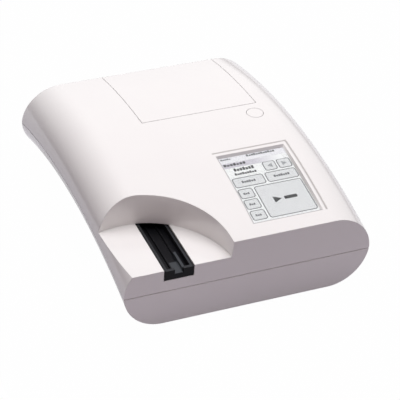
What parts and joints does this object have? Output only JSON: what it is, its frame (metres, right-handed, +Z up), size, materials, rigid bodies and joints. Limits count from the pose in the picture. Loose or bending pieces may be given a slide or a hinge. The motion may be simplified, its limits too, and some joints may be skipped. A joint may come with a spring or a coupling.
{
  "type": "urine analyzer",
  "caption": "Benchtop urine strip reader: arched white case, sliding strip tray in a scooped recess, touch display, push button and a hinged lid over a paper printer.",
  "frame": {"origin": "on the table, under the middle of the base", "axes": "+X to the right seen from the front, -Y out of the front face with the strip tray, +Z up"},
  "size_m": [0.15, 0.183, 0.0606],
  "materials": {
    "shell_white": "fine moulded satin",
    "tray_black": "moulded satin",
    "channel_grey": "moulded satin",
    "reference_white": "matt",
    "touch_glass": "polished",
    "gasket_black": "foam",
    "lcd": "polished",
    "steel": "brushed",
    "dark_plastic": "moulded satin",
    "plunger_red": "moulded",
    "board_green": "solder mask",
    "chip_black": "moulded",
    "header_cream": "moulded",
    "ribbon": "film",
    "ribbon_grey": "flat cable",
    "gear_white": "moulded",
    "optics_black": "matt",
    "lens_glass": "polished",
    "led_clear": "cast",
    "head_grey": "bead blasted",
    "roller_rubber": "ground",
    "bushing_brass": "turned",
    "well_grey": "moulded",
    "spindle_grey": "moulded",
    "paper": "coated",
    "socket_black": "moulded",
    "socket_metal": "nickel plated",
    "foot_rubber": "moulded"
  },
  "bodies": {
    "base": {"top_cover": "shell_white", "bottom_cover": "shell_white", "lid_hinge_pin": "steel", "button_board": "board_green", "button_switch": "dark_plastic", "touch_panel": "touch_glass", "display_gasket": "gasket_black", "lcd_panel": "lcd", "display_bracket": "steel", "display_screws": "steel", "display_cable": "ribbon", "tray_guide": "dark_plastic", "guide_screws": "steel", "tray_sensor": "optics_black", "tray_motor": "steel", "motor_bracket": "steel", "bracket_screws": "steel", "optics_housing": "optics_black", "optics_lens": "lens_glass", "optics_leds": "led_clear", "optics_board": "board_green", "printer_frame": "steel", "head_pin": "steel", "head_spring": "steel", "idler_pin": "steel", "printer_motor": "steel", "paper_well": "well_grey", "well_screws": "steel", "main_board": "board_green", "processor": "chip_black", "buzzer": "chip_black", "board_headers": "header_cream", "board_screws": "steel", "rear_board": "board_green", "dc_inlet": "socket_black", "usb_device_socket": "socket_metal", "usb_host_socket": "socket_metal", "rear_cable": "ribbon_grey", "cover_screws": "steel", "rubber_feet": "foot_rubber"},
    "tray": {"strip_tray": "tray_black", "strip_channel": "channel_grey", "reference_pad": "reference_white", "tray_rack": "gear_white"},
    "tray_drive": {"tray_motor_shaft": "steel", "tray_pinion": "gear_white"},
    "lid": {"printer_lid": "shell_white", "platen_bushings": "bushing_brass"},
    "platen": {"platen_shaft": "steel", "platen_roller": "roller_rubber", "platen_gear": "gear_white"},
    "idler": {"idler_gear": "gear_white"},
    "printer_drive": {"printer_motor_shaft": "steel", "printer_pinion": "gear_white"},
    "paper": {"paper_spindle": "spindle_grey", "paper_roll": "paper"},
    "button": {"power_button": "shell_white", "switch_plunger": "plunger_red"},
    "head": {"print_head": "head_grey"}
  },
  "joints": [
    {"name": "tray_slide", "type": "slide", "parent": "base", "child": "tray", "axis": [0, -1, 0], "range_m": [0, 0.07]},
    {"name": "tray_pinion_turn", "type": "hinge", "parent": "base", "child": "tray_drive", "pos_m": [-0.0382, -0.0335, 0.02781], "axis": [1, 0, 0], "range_deg": [0, 836]},
    {"name": "lid_hinge", "type": "hinge", "parent": "base", "child": "lid", "pos_m": [0.0124, 0.0795, 0.04718], "axis": [-1, 0, 0], "range_deg": [0, 95]},
    {"name": "platen_turn", "type": "hinge", "parent": "lid", "child": "platen", "pos_m": [0.0124, 0.0249, 0.05158], "axis": [1, 0, 0], "continuous": true},
    {"name": "idler_turn", "type": "hinge", "parent": "base", "child": "idler", "pos_m": [0.0473, 0.0249, 0.03908], "axis": [1, 0, 0], "continuous": true},
    {"name": "printer_pinion_turn", "type": "hinge", "parent": "base", "child": "printer_drive", "pos_m": [0.0473, 0.01709, 0.03206], "axis": [1, 0, 0], "continuous": true},
    {"name": "paper_roll_turn", "type": "hinge", "parent": "base", "child": "paper", "pos_m": [0.0124, 0.0511, 0.03874], "axis": [1, 0, 0], "continuous": true},
    {"name": "button_press", "type": "slide", "parent": "base", "child": "button", "axis": [0, 0, -1], "range_m": [0, 0.001], "stiffness_N_per_m": 1500, "springref_m": -0.0003},
    {"name": "head_pivot", "type": "hinge", "parent": "base", "child": "head", "pos_m": [0.0124, 0.0289, 0.04288], "axis": [1, 0, 0], "range_deg": [0, 1.5], "stiffness_Nm_per_rad": 1.5, "springref_deg": -5.73, "deforming": ["head_spring"]}
  ],
  "couplings": [
    {"joint": "tray_pinion_turn", "follows": "tray_slide", "rad_per_m": 208.33},
    {"joint": "idler_turn", "follows": "platen_turn", "ratio": -0.66667},
    {"joint": "printer_pinion_turn", "follows": "platen_turn", "ratio": 1.6667}
  ]
}
